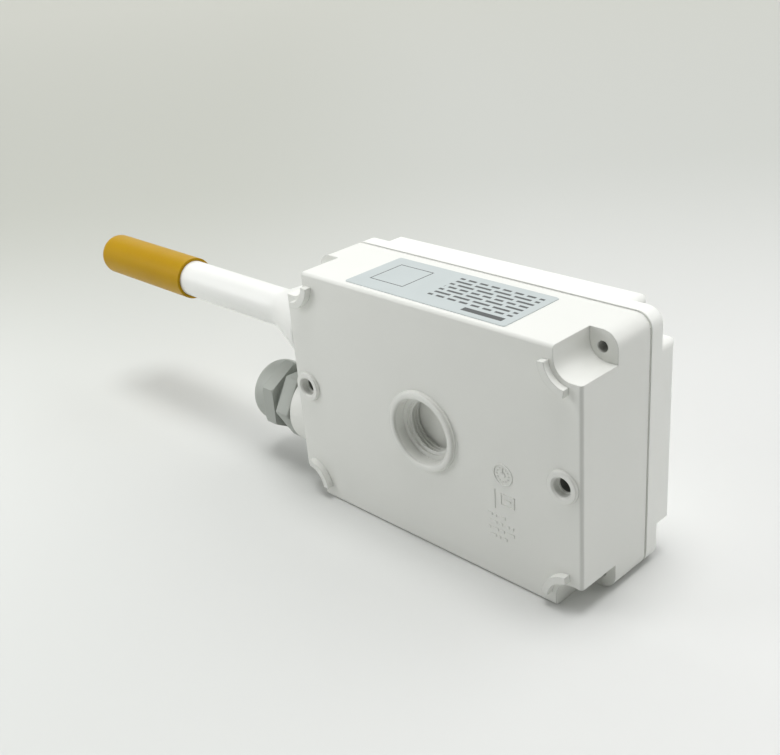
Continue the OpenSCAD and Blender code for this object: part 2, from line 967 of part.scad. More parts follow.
module terminal_blocks()
    color("#3f7d55")
        difference() {
            for (side = [0, 1])
                mirror([side, 0, 0])
                    translate([terminal_x, board_front, terminal_z - terminal_d / 2])
                        cube([terminal_l, terminal_h, terminal_d]);
            terminal_places() {
                translate([0, 0, terminal_h - terminal_well])
                    cylinder(h = terminal_well + over, r = terminal_screw_r + fit);
                translate([-terminal_mouth_w / 2, terminal_d / 2 - terminal_mouth_d, terminal_edge])
                    cube([terminal_mouth_w, terminal_mouth_d + over, terminal_mouth_h]);
            }
        }

module terminal_screws()
    color("#b4b7b8")
        terminal_places()
            translate([0, 0, terminal_h - terminal_well])
                difference() {
                    cylinder(h = terminal_screw_h, r = terminal_screw_r);
                    translate([-terminal_screw_r - over, -drive_w / 4, terminal_screw_h / 2])
                        cube([2 * terminal_screw_r + 2 * over, drive_w / 2, terminal_screw_h]);
                }

module wire_connector() {
    height = axis_y - board_front + connector_rim;
    width = wire_count * wire_pitch + connector_rim;
    color("#e8e6dc")
        difference() {
            translate([-board_w / 2 + connector_x, board_front, probe_z - width / 2])
                cube([connector_l, height, width]);
            from_side(probe_z)
                wire_places()
                    translate([0, 0, -wire_run])
                        cylinder(h = wire_run, r = wire_r + fit);
        }
}

module board_chips()
    color("#26282a")
        for (chip = chips_shares)
            translate([(chip[0] - chip[2] / 2) * board_w, board_front, (chip[1] - chip[3] / 2) * board_h])
                cube([chip[2] * board_w, chip[4] * board_t, chip[3] * board_h]);

module capacitors()
    color("#2c3a5e")
        for (n = [0 : can_count - 1])
            to_front(board_w / 2 - can_inset_x - n * can_pitch, board_front, board_h / 2 - can_inset_z)
                rotate_extrude()
                    polygon([
                        [0, 0],
                        [can_r, 0],
                        [can_r, can_groove_at - can_groove],
                        [can_r - can_groove, can_groove_at],
                        [can_r, can_groove_at + can_groove],
                        [can_r, can_h - can_groove],
                        [can_r - can_groove, can_h],
                        [0, can_h]
                    ]);

module service_socket()
    color("#1f2123")
        translate([board_notch_r - socket_l / 2, board_front, board_h / 2 - socket_edge - socket_w]) {
            difference() {
                cube([socket_l, socket_h, socket_w]);
                translate([socket_wall, socket_floor, socket_wall])
                    cube([socket_l - 2 * socket_wall, socket_h, socket_w - 2 * socket_wall]);
            }
            for (pin = [1 : socket_pins])
                translate([pin * socket_l / (socket_pins + 1) - socket_pin_w / 2, 0,
                    socket_w / 2 - socket_pin_w / 2])
                    cube([socket_pin_w, socket_h - socket_wall, socket_pin_w]);
        }

module status_led()
    color("#9ad08c")
        to_front(board_w / 2 - led_inset, board_front, probe_z) {
            cylinder(h = led_base, r = led_r + led_base / 2);
            cylinder(h = led_h - led_r, r = led_r);
            translate([0, 0, led_h - led_r])
                sphere(led_r);
        }

base_housing();
cover();
cover_gasket();
cover_screws();
screw_seals();
rating_plate();
gland_washer();
gland_body();
gland_seal();
gland_nut();
probe_stem();
probe_seal();
probe_locknut();
probe_wires();
stem_ring();
sensor_board();
humidity_chip();
temperature_element();
filter_cage();
filter_membrane();
filter_seal();
probe_cap();
circuit_board();
board_screws();
terminal_blocks();
terminal_screws();
wire_connector();
board_chips();
capacitors();
service_socket();
status_led();
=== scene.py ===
"""Wall-mount humidity and temperature transmitter, lying on its long side.

Finishes for the part's solids, the small parts that they leave out, and the floor, light and camera.
Lengths are millimetres in the part's own frame (X along the housing, Y from its back to its cover, Z up),
unless a line says metres.
"""

import math

import bmesh
import bpy
from mathutils import Matrix, Quaternion, Vector


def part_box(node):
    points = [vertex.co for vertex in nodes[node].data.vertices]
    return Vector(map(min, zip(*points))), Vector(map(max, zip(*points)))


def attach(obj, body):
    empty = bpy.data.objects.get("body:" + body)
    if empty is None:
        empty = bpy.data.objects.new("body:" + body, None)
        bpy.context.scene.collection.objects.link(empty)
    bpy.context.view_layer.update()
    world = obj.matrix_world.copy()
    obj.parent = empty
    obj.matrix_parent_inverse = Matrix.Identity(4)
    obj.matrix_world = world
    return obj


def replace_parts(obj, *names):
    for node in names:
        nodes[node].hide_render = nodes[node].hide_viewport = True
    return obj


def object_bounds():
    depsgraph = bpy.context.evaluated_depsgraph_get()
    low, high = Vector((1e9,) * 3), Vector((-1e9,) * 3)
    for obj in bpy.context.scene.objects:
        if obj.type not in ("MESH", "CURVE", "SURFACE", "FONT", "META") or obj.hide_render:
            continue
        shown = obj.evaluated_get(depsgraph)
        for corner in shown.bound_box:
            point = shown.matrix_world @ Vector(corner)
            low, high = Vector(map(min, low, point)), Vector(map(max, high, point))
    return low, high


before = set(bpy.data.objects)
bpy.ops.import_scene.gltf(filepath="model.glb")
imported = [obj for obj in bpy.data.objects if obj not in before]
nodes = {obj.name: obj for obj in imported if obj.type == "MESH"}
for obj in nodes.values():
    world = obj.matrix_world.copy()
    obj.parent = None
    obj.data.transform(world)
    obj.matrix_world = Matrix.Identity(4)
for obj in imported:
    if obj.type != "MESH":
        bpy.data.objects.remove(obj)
cad_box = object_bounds()

MM = 0.001
ALONG_PROBE = Vector((-1, 0, 0))
OUT_OF_BACK = Vector((0, -1, 0))
TO_COVER = Vector((0, 1, 0))
BOTH_SIDES = (-1, 1)


# Materials

def colour(text):
    """Linear colour from an sRGB hex value."""
    parts = [int(text[n:n + 2], 16) / 255 for n in (1, 3, 5)]
    return (*[c / 12.92 if c <= 0.04045 else ((c + 0.055) / 1.055) ** 2.4 for c in parts], 1)


def per(size_mm):
    """Pattern scale whose features are about this many millimetres wide."""
    return 1 / (size_mm * MM)


def add(tree, kind, inputs=None, **settings):
    """Adds one node with its settings. An input is given a value, or the output that feeds it."""
    node = tree.nodes.new("ShaderNode" + kind)
    for name, value in settings.items():
        setattr(node, name, value)
    for name, value in (inputs or {}).items():
        if isinstance(value, bpy.types.NodeSocket):
            tree.links.new(value, node.inputs[name])
        else:
            node.inputs[name].default_value = value
    return node


def material(name, **uniform):
    """An empty material with a principled shader, whose uniform values sit on its own sockets."""
    made = bpy.data.materials.new(name)
    made.use_nodes = True
    tree = made.node_tree
    tree.nodes.clear()
    shader = add(tree, "BsdfPrincipled", {word.replace("_", " "): value for word, value in uniform.items()})
    add(tree, "OutputMaterial", {"Surface": shader.outputs["BSDF"]})
    place = add(tree, "TexCoord").outputs["Object"]
    return made, tree, shader, place


def dress(tree, shader, **sources):
    """Feeds the shader's named sockets, such as Base_Color, from the outputs of pattern nodes."""
    for word, source in sources.items():
        tree.links.new(source, shader.inputs[word.replace("_", " ")])


def box_mask(tree, place, centre, half):
    """1 inside a box about a centre, and 0 outside; sizes in metres."""
    moved = add(tree, "VectorMath", {0: place, 1: centre}, operation="SUBTRACT").outputs[0]
    share = add(tree, "VectorMath", {0: moved, 1: half}, operation="DIVIDE").outputs[0]
    size = add(tree, "SeparateXYZ", {0: add(tree, "VectorMath", {0: share}, operation="ABSOLUTE").outputs[0]})
    flat = add(tree, "Math", {0: size.outputs["X"], 1: size.outputs["Y"]}, operation="MAXIMUM").outputs[0]
    most = add(tree, "Math", {0: flat, 1: size.outputs["Z"]}, operation="MAXIMUM").outputs[0]
    return add(tree, "Math", {0: most, 1: 1}, operation="LESS_THAN").outputs[0]


FLOW_MM = 18
POLISH_MM = 6
UPRIGHT_FROM, UPRIGHT_TO = 0.1, 0.42


def moulded(name, light, dark, roughness, grain=0.35, relief=0.006, edge=0.25, upright=None, shaded=(),
            **uniform):
    """Injection-moulded plastic: a tone that drifts slightly with the flow of the melt, patches of more and
    less polish, a fine spark-eroded grain and softly rounded edges."""
    made, tree, shader, place = material(name, IOR=1.5, **uniform)
    flow = add(tree, "TexNoise", {"Vector": place, "Scale": per(FLOW_MM), "Detail": 3})
    tone = add(tree, "MixRGB", {"Fac": flow.outputs["Fac"], "Color1": colour(light), "Color2": colour(dark)})
    soft = add(tree, "Bevel", {"Radius": edge * MM}, samples=6)
    if upright:
        # Painted shade: the rounded upright edges are coloured a little greyer than the faces, for the shade
        # on them.
        turned_to = add(tree, "SeparateXYZ", {0: soft.outputs["Normal"]})
        both = add(tree, "Math", {0: turned_to.outputs["X"], 1: turned_to.outputs["Y"]}, operation="MULTIPLY")
        size = add(tree, "Math", {0: both.outputs[0]}, operation="ABSOLUTE").outputs[0]
        bloom_and_edge_shade = add(tree, "MapRange", {"Value": size, "From Min": UPRIGHT_FROM, "From Max": UPRIGHT_TO})
        tone = add(tree, "MixRGB", {"Fac": bloom_and_edge_shade.outputs["Result"], "Color1": tone.outputs["Color"],
                                    "Color2": colour(upright)})
    if shaded:
        # The boxes are given for one corner, and hold on all four.
        mirrored = add(tree, "VectorMath", {0: place}, operation="ABSOLUTE").outputs[0]
    # Painted shade: inside each box the tone gives way to the box's darker shade.
    for shade, centre, half in shaded:
        inside = box_mask(tree, mirrored, Vector(centre) * MM, Vector(half) * MM)
        tone = add(tree, "MixRGB", {"Fac": inside, "Color1": tone.outputs["Color"], "Color2": colour(shade)})
    polish = add(tree, "TexNoise", {"Vector": place, "Scale": per(POLISH_MM), "Detail": 4})
    gloss = add(tree, "MapRange", {"Value": polish.outputs["Fac"], "To Min": roughness - 0.05,
                                   "To Max": roughness + 0.05})
    grains = add(tree, "TexNoise", {"Vector": place, "Scale": per(grain), "Detail": 2})
    bump = add(tree, "Bump", {"Height": grains.outputs["Fac"], "Distance": relief * MM, "Strength": 1,
                              "Normal": soft.outputs["Normal"]})
    dress(tree, shader, Base_Color=tone.outputs["Color"], Roughness=gloss.outputs["Result"],
          Normal=bump.outputs["Normal"])
    return made


# Painted shade darkens the parting groove, the mounting holes and the cover screws' holes, where little light
# gets in. Each box is given by its shade, its centre and its half size.
GROOVE_SHADE = [("#b0b1ac", (51.5, 27.6, 0), (0.58, 0.44, 37)), ("#b0b1ac", (0, 27.6, 36), (52, 0.44, 0.58))]
BORE_SHADE = [("#787974", (46, 8, 0), (2.3, 6.4, 2.3)), ("#c2c3be", (47.2, 21, 31.6), (1.7, 6.5, 1.7))]
# ABS and polycarbonate blend, moulded in a spark-eroded tool: white, satin, with a grain that is felt more
# than seen. The real grain is about 0.1 mm and is drawn coarser, so that it breaks up the highlights.
# Painted shade greys the housing's upright edges and darkens its bores and parting groove.
housing_abs = moulded("white_moulded_abs", "#e9eae5", "#e5e6e1", 0.42, edge=0.35, upright="#d6d7d2",
                      shaded=BORE_SHADE + GROOVE_SHADE)
# The same blend for the cover, a touch brighter.
# Painted shade darkens the cover's side of the parting groove too.
cover_abs = moulded("white_moulded_abs_cover", "#f5f6f2", "#f1f2ed", 0.38, shaded=GROOVE_SHADE)
# Polybutylene terephthalate, moulded and lightly polished: the probe's white tube, a little glossier.
stem_pbt = moulded("white_moulded_pbt", "#eeefec", "#eaebe7", 0.34, grain=0.5, relief=0.004)
# Unfilled polyamide, moulded: the locknut, creamy and slightly waxy.
nut_polyamide = moulded("natural_polyamide", "#dcdbd0", "#d3d2c6", 0.4)
# Light grey polyamide of cable glands, moulded: dull, with a fine grain.
gland_polyamide = moulded("grey_moulded_polyamide", "#abafa9", "#a4a8a2", 0.48, grain=0.4, relief=0.01)
# Low-density polyethylene, dip-moulded: the cap is golden yellow and waxy, and light passes a little way in.
cap_polyethylene = moulded("yellow_polyethylene", "#b68f04", "#ac8502", 0.4, grain=1.4, relief=0.02,
                           Specular_IOR_Level=0.15, Subsurface_Weight=0.15,
                           Subsurface_Radius=(1.0, 0.6, 0.15), Subsurface_Scale=1.2 * MM)
# Flame-retardant polybutylene terephthalate of terminal blocks, moulded: signal green, satin.
terminal_pbt = moulded("green_terminal_plastic", "#2f7d4f", "#2a7148", 0.42, edge=0.15)
# Nylon crimp housing of the probe's plug, moulded: ivory, slightly waxy.
connector_nylon = moulded("ivory_nylon", "#e5e1d2", "#dcd8c8", 0.4, edge=0.15)
# Glass-filled epoxy of chip packages, and the socket's black thermoplastic: charcoal, matt, with a dull top.
chip_epoxy = moulded("black_moulding_epoxy", "#242629", "#2d2f31", 0.55, grain=0.3, relief=0.008, edge=0.1)


def rubber(name, shade, bloom_and_edge_shade):
    """Moulded elastomer: dull, with a powdery bloom."""
    made, tree, shader, place = material(name, IOR=1.52, Specular_IOR_Level=0.35)
    bloom = add(tree, "TexNoise", {"Vector": place, "Scale": per(3), "Detail": 6})
    tone = add(tree, "MixRGB", {"Fac": bloom.outputs["Fac"], "Color1": colour(shade), "Color2": colour(bloom_and_edge_shade)})
    dull = add(tree, "MapRange", {"Value": bloom.outputs["Fac"], "To Min": 0.6, "To Max": 0.8})
    pores = add(tree, "TexNoise", {"Vector": place, "Scale": per(0.3), "Detail": 2})
    bump = add(tree, "Bump", {"Height": pores.outputs["Fac"], "Distance": 0.01 * MM})
    dress(tree, shader, Base_Color=tone.outputs["Color"], Roughness=dull.outputs["Result"],
          Normal=bump.outputs["Normal"])
    return made


# Moulded EPDM seals: black with a faint grey bloom.
seal_epdm = rubber("black_epdm_seal", "#1f2122", "#2c2e2f")
# Foamed polyurethane loop in the base's groove: dark grey, open-pored.
gasket_foam = rubber("grey_gasket_foam", "#474a4b", "#55585a")


def metal(name, shade, dark, roughness, line_mm, direction):
    """Machined or drawn metal: fine tool lines across one direction, and a little uneven polish."""
    made, tree, shader, place = material(name, Metallic=1)
    stretched = add(tree, "Mapping", {"Vector": place, "Scale": direction})
    lines = add(tree, "TexNoise", {"Vector": stretched.outputs["Vector"], "Scale": per(line_mm), "Detail": 3})
    tone = add(tree, "MixRGB", {"Fac": lines.outputs["Fac"], "Color1": colour(shade), "Color2": colour(dark)})
    gloss = add(tree, "MapRange", {"Value": lines.outputs["Fac"], "To Min": roughness - 0.08,
                                   "To Max": roughness + 0.08})
    soft = add(tree, "Bevel", {"Radius": 0.12 * MM}, samples=6)
    bump = add(tree, "Bump", {"Height": lines.outputs["Fac"], "Distance": 0.004 * MM,
                              "Normal": soft.outputs["Normal"]})
    dress(tree, shader, Base_Color=tone.outputs["Color"], Roughness=gloss.outputs["Result"],
          Normal=bump.outputs["Normal"])
    return made


# Stainless pan-head screws, cold-formed and tumbled: grey with soft scratches.
screw_steel = metal("stainless_screw", "#b9babb", "#8f9192", 0.34, 0.5, (1, 1, 1))
# Turned stainless ring in the probe's end: fine rings across its axis.
ring_steel = metal("turned_stainless", "#c9cacb", "#a9abac", 0.28, 0.25, (1, 0.05, 0.05))
# Drawn stainless filter cage, satin ground along its length.
cage_steel = metal("ground_stainless", "#c6c7c5", "#a3a5a4", 0.3, 0.3, (0.05, 1, 1))
# Nickel-plated brass of the terminal screws and clamps: bright, faintly warm.
terminal_nickel = metal("nickel_plated_brass", "#cfcdc6", "#b1afa7", 0.26, 0.4, (1, 1, 1))
# Tinned copper legs and solder fillets: bright grey, softly rounded.
solder_tin = metal("tinned_copper", "#d4d5d6", "#b5b7b9", 0.22, 0.6, (1, 1, 1))
# Gold-plated contacts and enamelled copper winding: warm yellow, bright.
pin_gold = metal("gold_plated_pin", "#e2c070", "#c7a253", 0.22, 0.6, (1, 1, 1))


def rating_film():
    """Silver polyester film, screen printed: a satin metal sheen under a matt top coat, with a plain layout
    of bars in dark grey ink."""
    made, tree, shader, place = material("silver_printed_film", Metallic=0.3, Coat_Weight=0.15,
                                         Coat_Roughness=0.35)
    low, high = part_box("rating_plate")
    middle = (low + high) / 2
    half = (high - low) / 2
    sheen = add(tree, "TexNoise", {"Vector": place, "Scale": per(9), "Detail": 3})
    film = add(tree, "MixRGB", {"Fac": sheen.outputs["Fac"], "Color1": colour("#c0c8c9"),
                                "Color2": colour("#b7bfc0")})
    # Rows of short bars, 6.5 mm at most and 2.1 mm from row to row, fill the plate's right half.
    in_mm = (1 / MM, 1 / MM, 1 / MM)
    rows = add(tree, "Mapping", {"Vector": place, "Location": (0, -0.4, 0), "Scale": in_mm})
    bars = add(tree, "TexBrick", {"Vector": rows.outputs["Vector"], "Scale": 1, "Mortar Size": 0.62,
                                  "Mortar Smooth": 0.1, "Brick Width": 6.5, "Row Height": 2.1},
               offset=0.37, squash=0.6, squash_frequency=3)
    block_centre = middle + Vector((half.x * 0.42, 1.7 * MM, 0))
    in_block = box_mask(tree, place, block_centre, (half.x * 0.5, 7.2 * MM, 1))
    in_bars = add(tree, "Math", {0: 1, 1: bars.outputs["Fac"]}, operation="SUBTRACT").outputs[0]
    row_print = add(tree, "Math", {0: in_bars, 1: in_block}, operation="MULTIPLY").outputs[0]
    bar_centre = middle + Vector((half.x * 0.67, -7.9 * MM, 0))
    thick_bar = box_mask(tree, place, bar_centre, (6.5 * MM, 0.95 * MM, 1))
    # A thin square frame stands in the left half.
    square_centre = middle + Vector((-half.x * 0.62, 0.6 * MM, 0))
    outer = box_mask(tree, place, square_centre, (6.2 * MM, 6.2 * MM, 1))
    inner = box_mask(tree, place, square_centre, (5.85 * MM, 5.85 * MM, 1))
    outline = add(tree, "Math", {0: outer, 1: inner}, operation="SUBTRACT").outputs[0]
    two = add(tree, "Math", {0: row_print, 1: thick_bar}, operation="MAXIMUM").outputs[0]
    ink = add(tree, "Math", {0: two, 1: outline}, operation="MAXIMUM").outputs[0]
    face = add(tree, "MixRGB", {"Fac": ink, "Color1": film.outputs["Color"], "Color2": colour("#3c4042")})
    gloss = add(tree, "MapRange", {"Value": sheen.outputs["Fac"], "To Min": 0.36, "To Max": 0.46})
    bump = add(tree, "Bump", {"Height": ink, "Distance": 0.01 * MM})
    dress(tree, shader, Base_Color=face.outputs["Color"], Roughness=gloss.outputs["Result"],
          Normal=bump.outputs["Normal"])
    return made


def solder_mask():
    """Glass-epoxy board, etched and coated with green solder mask: copper tracks show lighter through it,
    with tinned dots at the plated holes."""
    made, tree, shader, place = material("green_solder_mask", IOR=1.5, Coat_Weight=0.3, Coat_Roughness=0.15)
    across = add(tree, "TexWave", {"Vector": place, "Scale": per(4.5), "Distortion": 0}, bands_direction="X")
    up = add(tree, "TexWave", {"Vector": place, "Scale": per(4.5), "Distortion": 0}, bands_direction="Z")
    fields = add(tree, "TexVoronoi", {"Vector": place, "Scale": per(9), "Randomness": 0.9},
                 distance="CHEBYCHEV")
    choose = add(tree, "SeparateColor", {"Color": fields.outputs["Color"]})
    pick = add(tree, "Math", {0: choose.outputs["Red"], 1: 0.5}, operation="GREATER_THAN").outputs[0]
    either = add(tree, "MixRGB", {"Fac": pick, "Color1": across.outputs["Color"],
                                  "Color2": up.outputs["Color"]})
    track = add(tree, "Math", {0: either.outputs["Color"], 1: 0.62}, operation="GREATER_THAN").outputs[0]
    few = add(tree, "Math", {0: choose.outputs["Green"], 1: 0.35}, operation="GREATER_THAN").outputs[0]
    copper = add(tree, "Math", {0: track, 1: few}, operation="MULTIPLY").outputs[0]
    green = add(tree, "MixRGB", {"Fac": copper, "Color1": colour("#1d5a38"), "Color2": colour("#2f7a4b")})
    holes = add(tree, "TexVoronoi", {"Vector": place, "Scale": per(5.5), "Randomness": 1})
    dot = add(tree, "Math", {0: holes.outputs["Distance"], 1: 0.075}, operation="LESS_THAN").outputs[0]
    face = add(tree, "MixRGB", {"Fac": dot, "Color1": green.outputs["Color"], "Color2": colour("#b9bcae")})
    gloss = add(tree, "MapRange", {"Value": copper, "To Min": 0.32, "To Max": 0.26})
    bump = add(tree, "Bump", {"Height": copper, "Distance": 0.03 * MM})
    dress(tree, shader, Base_Color=face.outputs["Color"], Roughness=gloss.outputs["Result"],
          Normal=bump.outputs["Normal"])
    return made


# Each wire's height in the bundle, as a share from its lowest point, and its colour.
WIRE_COLOURS = [(0, "#e9e9e4"), (0.28, "#6b4529"), (0.5, "#2d8a4c"), (0.72, "#e2c12f")]


def wire_pvc():
    """Extruded PVC insulation, one colour to a wire: white, brown, green and yellow, with a soft shine."""
    made, tree, shader, place = material("coloured_wire_pvc", IOR=1.53)
    low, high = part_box("probe_wires")
    height = add(tree, "SeparateXYZ", {0: place}).outputs["Z"]
    band = add(tree, "MapRange", {"Value": height, "From Min": low.z, "From Max": high.z})
    wires = add(tree, "ValToRGB", {"Fac": band.outputs["Result"]})
    ramp = wires.color_ramp
    ramp.interpolation = "CONSTANT"
    ends = (WIRE_COLOURS[0], WIRE_COLOURS[-1])
    for element, (share, shade) in zip(ramp.elements, ends):
        element.position, element.color = share, colour(shade)
    for share, shade in WIRE_COLOURS[1:-1]:
        ramp.elements.new(share).color = colour(shade)
    drawn = add(tree, "TexNoise", {"Vector": place, "Scale": per(2), "Detail": 3})
    gloss = add(tree, "MapRange", {"Value": drawn.outputs["Fac"], "To Min": 0.3, "To Max": 0.4})
    dress(tree, shader, Base_Color=wires.outputs["Color"], Roughness=gloss.outputs["Result"])
    return made


def can_sleeve():
    """Drawn aluminium can in a printed shrink sleeve: dark blue, one pale stripe and a bare metal end."""
    made, tree, shader, place = material("capacitor_sleeve", IOR=1.5)
    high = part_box("capacitors")[1]
    bare_from, stripe_from = high.y - 0.35 * MM, high.z - 1.1 * MM
    spread = add(tree, "SeparateXYZ", {0: place}).outputs
    end = add(tree, "Math", {0: spread["Y"], 1: bare_from}, operation="GREATER_THAN").outputs[0]
    stripe = add(tree, "Math", {0: spread["Z"], 1: stripe_from}, operation="GREATER_THAN").outputs[0]
    mottle = add(tree, "TexNoise", {"Vector": place, "Scale": per(2), "Detail": 3})
    sleeve = add(tree, "MixRGB", {"Fac": mottle.outputs["Fac"], "Color1": colour("#232f57"),
                                  "Color2": colour("#2a3866")})
    striped = add(tree, "MixRGB", {"Fac": stripe, "Color1": sleeve.outputs["Color"],
                                   "Color2": colour("#c3c8d2")})
    face = add(tree, "MixRGB", {"Fac": end, "Color1": striped.outputs["Color"], "Color2": colour("#c8cacc")})
    gloss = add(tree, "MapRange", {"Value": mottle.outputs["Fac"], "To Min": 0.25, "To Max": 0.35})
    dress(tree, shader, Base_Color=face.outputs["Color"], Metallic=end, Roughness=gloss.outputs["Result"])
    return made


def thin_film():
    """Thin-film humidity element, sputtered on glass: a warm metal comb under a clear polymer. The real
    comb's fingers are some hundredths of a millimetre wide and are drawn coarser, so that they show."""
    made, tree, shader, place = material("thin_film_comb", IOR=1.5, Roughness=0.2, Coat_Weight=0.6,
                                         Coat_Roughness=0.08)
    comb = add(tree, "TexWave", {"Vector": place, "Scale": per(3.2), "Distortion": 0}, bands_direction="Z")
    lines = add(tree, "Math", {0: comb.outputs["Fac"], 1: 0.5}, operation="GREATER_THAN").outputs[0]
    face = add(tree, "MixRGB", {"Fac": lines, "Color1": colour("#6f7f8e"), "Color2": colour("#d7b877")})
    dress(tree, shader, Base_Color=face.outputs["Color"], Metallic=lines)
    return made


def powdery(name, light, dark, size_mm, depth_mm, roughness):
    """Fired, sintered or screen-printed surface: matt, with fine pores."""
    made, tree, shader, place = material(name, IOR=1.5)
    pores = add(tree, "TexVoronoi", {"Vector": place, "Scale": per(size_mm)}).outputs["Distance"]
    tone = add(tree, "MixRGB", {"Fac": pores, "Color1": colour(dark), "Color2": colour(light)})
    gloss = add(tree, "MapRange", {"Value": pores, "To Min": roughness - 0.05, "To Max": roughness + 0.05})
    bump = add(tree, "Bump", {"Height": pores, "Distance": depth_mm * MM})
    dress(tree, shader, Base_Color=tone.outputs["Color"], Roughness=gloss.outputs["Result"],
          Normal=bump.outputs["Normal"])
    return made


# Fired alumina carrier of the platinum element: white and chalky.
alumina = powdery("white_alumina", "#f0f0ec", "#deded8", 0.3, 0.01, 0.6)
# Sintered, porous PTFE sleeve of the filter: milk white, felt-like.
ptfe = powdery("porous_ptfe", "#efefeb", "#d9d9d2", 0.5, 0.05, 0.7)
# Fired barium titanate and alumina bodies of the board's smallest parts: tan and chalky.
chip_ceramic = powdery("tan_chip_ceramic", "#b79a72", "#a1845e", 0.4, 0.01, 0.55)
# Screen-printed epoxy ink on the board: white, matt, slightly raised.
legend_ink = powdery("white_legend_ink", "#eceee9", "#d9dcd5", 0.5, 0.005, 0.6)


def led_lens():
    """Cast tinted epoxy lens: pale green and clear, so that light passes through."""
    made, tree, shader, place = material("tinted_epoxy_lens", IOR=1.52, Transmission_Weight=0.7)
    cloud = add(tree, "TexNoise", {"Vector": place, "Scale": per(2)}).outputs["Fac"]
    tone = add(tree, "MixRGB", {"Fac": cloud, "Color1": colour("#a9dba0"), "Color2": colour("#8fcb88")})
    gloss = add(tree, "MapRange", {"Value": cloud, "To Min": 0.1, "To Max": 0.16})
    dress(tree, shader, Base_Color=tone.outputs["Color"], Roughness=gloss.outputs["Result"])
    return made


board_mask = solder_mask()
FINISHES = {
    "base_housing": housing_abs, "cover": cover_abs, "cover_gasket": gasket_foam, "cover_screws": screw_steel,
    "screw_seals": seal_epdm, "rating_plate": rating_film(), "gland_washer": seal_epdm,
    "gland_body": gland_polyamide, "gland_seal": seal_epdm, "gland_nut": gland_polyamide,
    "probe_stem": stem_pbt, "probe_seal": seal_epdm, "probe_locknut": nut_polyamide,
    "probe_wires": wire_pvc(), "stem_ring": ring_steel, "sensor_board": board_mask,
    "humidity_chip": thin_film(), "temperature_element": alumina, "filter_cage": cage_steel,
    "filter_membrane": ptfe, "filter_seal": seal_epdm, "probe_cap": cap_polyethylene,
    "circuit_board": board_mask, "board_screws": screw_steel, "terminal_blocks": terminal_pbt,
    "terminal_screws": terminal_nickel, "wire_connector": connector_nylon, "board_chips": chip_epoxy,
    "capacitors": can_sleeve(), "service_socket": chip_epoxy, "status_led": led_lens(),
}
for name, finish in FINISHES.items():
    nodes[name].data.materials.clear()
    nodes[name].data.materials.append(finish)


# Modelling

def piece(name, bm, body, finish, smooth=35):
    """Makes a bmesh a finished piece that rides on a body. Edges sharper than smooth (degrees) stay crisp."""
    mesh = bpy.data.meshes.new(name)
    bm.to_mesh(mesh)
    bm.free()
    mesh.shade_smooth()
    mesh.set_sharp_from_angle(angle=math.radians(smooth))
    mesh.materials.append(finish)
    made = bpy.data.objects.new(name, mesh)
    bpy.context.scene.collection.objects.link(made)
    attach(made, body)
    return made


def bevel(bm, edges, width, segments=2):
    """Rounds edges by a width."""
    bmesh.ops.bevel(bm, geom=list(edges), offset=width * MM, offset_type="OFFSET", segments=segments,
                    profile=0.5, affect="EDGES", material=-1)


def block(bm, corner, opposite, edge=0, segments=1):
    """Adds a block between two opposite corners, with its edges rounded."""
    low, high = (Vector(map(pick, corner, opposite)) * MM for pick in (min, max))
    place = Matrix.LocRotScale((low + high) / 2, None, high - low)
    corners = bmesh.ops.create_cube(bm, size=1, matrix=place)["verts"]
    if edge:
        bevel(bm, {e for v in corners for e in v.link_edges}, edge, segments)


def turned(bm, outline, centre, axis, steps=64):
    """Spins a closed outline of (radius, distance along the axis) into a solid; its centre is in metres."""
    side = axis.orthogonal().normalized()
    corners = [bm.verts.new(centre + (side * r + axis * d) * MM) for r, d in outline]
    loop = [bm.edges.new((a, b)) for a, b in zip(corners, corners[1:] + corners[:1])]
    bmesh.ops.spin(bm, geom=corners + loop, cent=centre, axis=axis, angle=math.tau, steps=steps,
                   use_merge=True)
    bmesh.ops.remove_doubles(bm, verts=bm.verts, dist=0.001 * MM)
    bmesh.ops.recalc_face_normals(bm, faces=bm.faces)


# Half the width of a thread's ridge at its foot and at its top, as shares of the pitch.
RIDGE_FOOT, RIDGE_TOP = 0.42, 0.1


def thread(bm, centre, axis, start, turns, pitch, root, crest, steps=48):
    """Winds a ridge round an axis from a start distance. Root and crest are its radii; its centre is in
    metres."""
    side = axis.orthogonal().normalized()
    outline = [(root, -RIDGE_FOOT), (root, RIDGE_FOOT), (crest, RIDGE_TOP), (crest, -RIDGE_TOP)]
    corners = [bm.verts.new(centre + (side * r + axis * (start + share * pitch)) * MM)
               for r, share in outline]
    face = bm.faces.new(corners)
    bmesh.ops.spin(bm, geom=[face], cent=centre, axis=axis, dvec=axis * (pitch / steps) * MM,
                   angle=math.tau * turns, steps=int(steps * turns))
    bmesh.ops.recalc_face_normals(bm, faces=bm.faces)


# Housing: the rear entry's thread, which stands out of its wall of radius 8.1

ENTRY_START, ENTRY_TURNS, ENTRY_PITCH = 2.9, 3.0, 1.15
ENTRY_ROOT, ENTRY_CREST = 8.25, 7.3
bm = bmesh.new()
thread(bm, Vector((0, 0, 0)), TO_COVER, ENTRY_START, ENTRY_TURNS, ENTRY_PITCH, ENTRY_ROOT, ENTRY_CREST)
piece("entry_thread", bm, "base", housing_abs)

# The entry's rim is moulded full round: a low bead on the raised ring, sunk by a hair
RING_FACE = Vector((0, -1, 0)) * MM
RIM_RADIUS, RIM_HALF, RIM_HEIGHT, RIM_SUNK, RIM_STEPS = 10.6, 1.05, 0.5, 0.04, 14
bead = [math.pi * n / RIM_STEPS for n in range(RIM_STEPS + 1)]
bm = bmesh.new()
turned(bm, [(RIM_RADIUS - RIM_HALF * math.cos(a), RIM_HEIGHT * math.sin(a) - RIM_SUNK) for a in bead],
       RING_FACE, OUT_OF_BACK, 96)
piece("entry_rim", bm, "base", housing_abs, 60)

